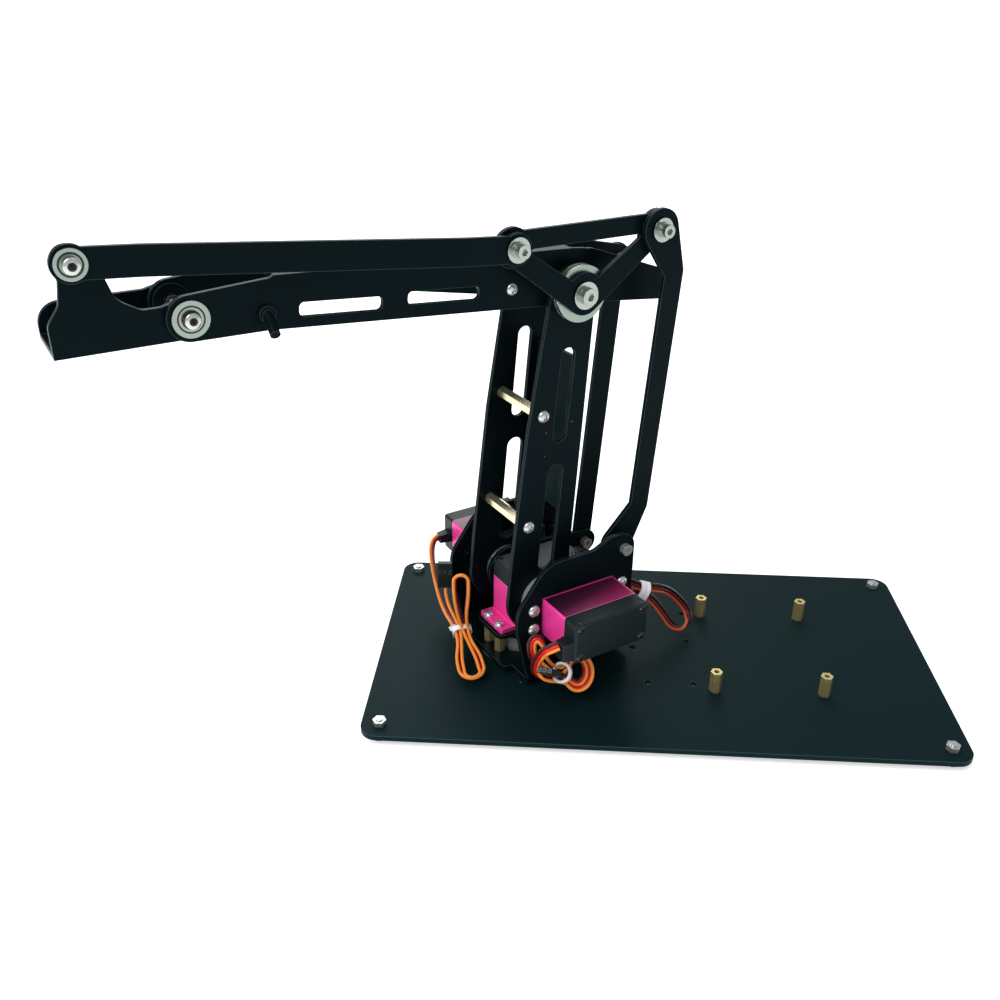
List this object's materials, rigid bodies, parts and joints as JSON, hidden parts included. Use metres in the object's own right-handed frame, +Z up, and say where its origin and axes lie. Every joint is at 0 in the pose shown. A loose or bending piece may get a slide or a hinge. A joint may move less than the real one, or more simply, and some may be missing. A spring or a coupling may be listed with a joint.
{
  "type": "desktop palletizing robot arm",
  "caption": "Desktop palletizing robot arm of black sheet-metal plates on a rectangular base, with servo yaw, shoulder and crank drives and parallel links that keep its tool bracket level.",
  "frame": {"origin": "on the yaw axis, at the surface that the feet stand on", "axes": "+Z up along the yaw axis, +X along the base plate's length towards the arm's end of it; the arm rests turned 34.5 degrees from +X towards +Y"},
  "size_m": [0.3665, 0.1927, 0.2309],
  "materials": {
    "black_plate": "fine satin black",
    "rubber": "matte",
    "steel": "machined",
    "brass": "turned",
    "horn_metal": "anodised",
    "servo_metal": "magenta anodised",
    "servo_plastic": "moulded",
    "lead": "soft insulation",
    "tie": "smooth"
  },
  "bodies": {
    "base": {"base_plate": "black_plate", "rubber_feet": "rubber", "foot_bolts": "steel", "board_standoffs": "brass", "turntable_race": "steel", "turntable_rollers": "steel", "yaw_pedestal": "horn_metal", "yaw_horn": "horn_metal", "yaw_servo_shaft": "brass"},
    "turntable": {"turntable_bracket": "black_plate", "deck_plate": "black_plate", "deck_standoffs": "brass", "yaw_servo_bottom_cover": "servo_plastic", "yaw_servo_case": "servo_metal", "yaw_servo_gear_cover": "servo_plastic", "shoulder_servo_bottom_cover": "servo_plastic", "shoulder_servo_case": "servo_metal", "shoulder_servo_gear_cover": "servo_plastic", "crank_servo_bottom_cover": "servo_plastic", "crank_servo_case": "servo_metal", "crank_servo_gear_cover": "servo_plastic", "link_foot_pivot": "steel", "lead_reliefs": "servo_plastic", "lead_plugs": "servo_plastic", "lead_ties": "tie", "crank_lead": "lead", "crank_lead_hank": "lead", "shoulder_lead": "lead", "shoulder_lead_coil": "lead", "yaw_lead": "lead"},
    "lower_arm": {"arm_plate_near": "black_plate", "arm_plate_far": "black_plate", "arm_bridge": "black_plate", "arm_cross_standoffs": "brass", "shoulder_horn": "horn_metal", "shoulder_servo_shaft": "brass", "arm_bearing": "steel", "arm_bearing_housing": "black_plate", "elbow_bolt": "steel", "elbow_thrust_bearing": "steel"},
    "crank": {"crank_plate": "black_plate", "crank_hub": "horn_metal", "crank_horn": "horn_metal", "crank_servo_shaft": "brass", "crank_pin": "steel"},
    "crank_bush": {"crank_bush": "brass"},
    "far_link": {"far_link": "black_plate"},
    "triangle": {"triangle_plate": "black_plate", "triangle_pivots": "steel"},
    "near_link": {"near_link": "black_plate"},
    "forearm": {"forearm_channel": "black_plate", "elbow_bushes": "brass", "wrist_bearings": "steel", "forearm_brace": "brass", "tail_pin": "steel", "stub_pin": "black_plate"},
    "upper_rod": {"upper_rod": "black_plate", "rod_bearing": "steel"},
    "tool": {"tool_bracket": "black_plate", "tool_pivots": "steel"}
  },
  "joints": [
    {"name": "yaw", "type": "hinge", "parent": "base", "child": "turntable", "pos_m": [0, 0, 0.01], "axis": [0, 0, 1], "range_deg": [-124.5, 55.5]},
    {"name": "shoulder", "type": "hinge", "parent": "turntable", "child": "lower_arm", "pos_m": [-0.00082, -0.00057, 0.044], "axis": [-0.5664, 0.8241, 0], "range_deg": [-10, 50]},
    {"name": "crank", "type": "hinge", "parent": "turntable", "child": "crank", "pos_m": [-0.00082, -0.00057, 0.044], "axis": [0.5664, -0.8241, 0], "range_deg": [-40, 8]},
    {"name": "elbow_level", "type": "hinge", "parent": "lower_arm", "child": "triangle", "pos_m": [-0.01131, -0.00777, 0.18944], "axis": [-0.5664, 0.8241, 0], "range_deg": [-50, 10]},
    {"name": "link_foot", "type": "hinge", "parent": "turntable", "child": "near_link", "pos_m": [-0.02975, -0.02045, 0.0675], "axis": [-0.5664, 0.8241, 0], "range_deg": [-10, 50]},
    {"name": "elbow", "type": "hinge", "parent": "triangle", "child": "forearm", "pos_m": [-0.01131, -0.00777, 0.18944], "axis": [0.5664, -0.8241, 0], "range_deg": [-40, 8]},
    {"name": "rod_rear", "type": "hinge", "parent": "triangle", "child": "upper_rod", "pos_m": [0.01762, 0.01211, 0.21294], "axis": [0.5664, -0.8241, 0], "range_deg": [-40, 8]},
    {"name": "wrist", "type": "hinge", "parent": "forearm", "child": "tool", "pos_m": [0.11855, 0.08148, 0.20102], "axis": [0.5664, -0.8241, 0], "range_deg": [-8, 40]},
    {"name": "crank_bush_turn", "type": "hinge", "parent": "crank", "child": "crank_bush", "pos_m": [-0.03787, -0.02602, 0.0462], "axis": [0.5664, -0.8241, 0], "range_deg": [-8, 40]},
    {"name": "far_link_foot", "type": "hinge", "parent": "crank_bush", "child": "far_link", "pos_m": [-0.03787, -0.02602, 0.0462], "axis": [-0.5664, 0.8241, 0], "range_deg": [-10, 50]}
  ],
  "couplings": [
    {"joint": "elbow_level", "follows": "shoulder", "ratio": -1},
    {"joint": "link_foot", "follows": "shoulder", "ratio": 1},
    {"joint": "far_link_foot", "follows": "shoulder", "ratio": 1},
    {"joint": "elbow", "follows": "crank", "ratio": 1},
    {"joint": "rod_rear", "follows": "crank", "ratio": 1},
    {"joint": "wrist", "follows": "crank", "ratio": -1},
    {"joint": "crank_bush_turn", "follows": "crank", "ratio": -1}
  ]
}
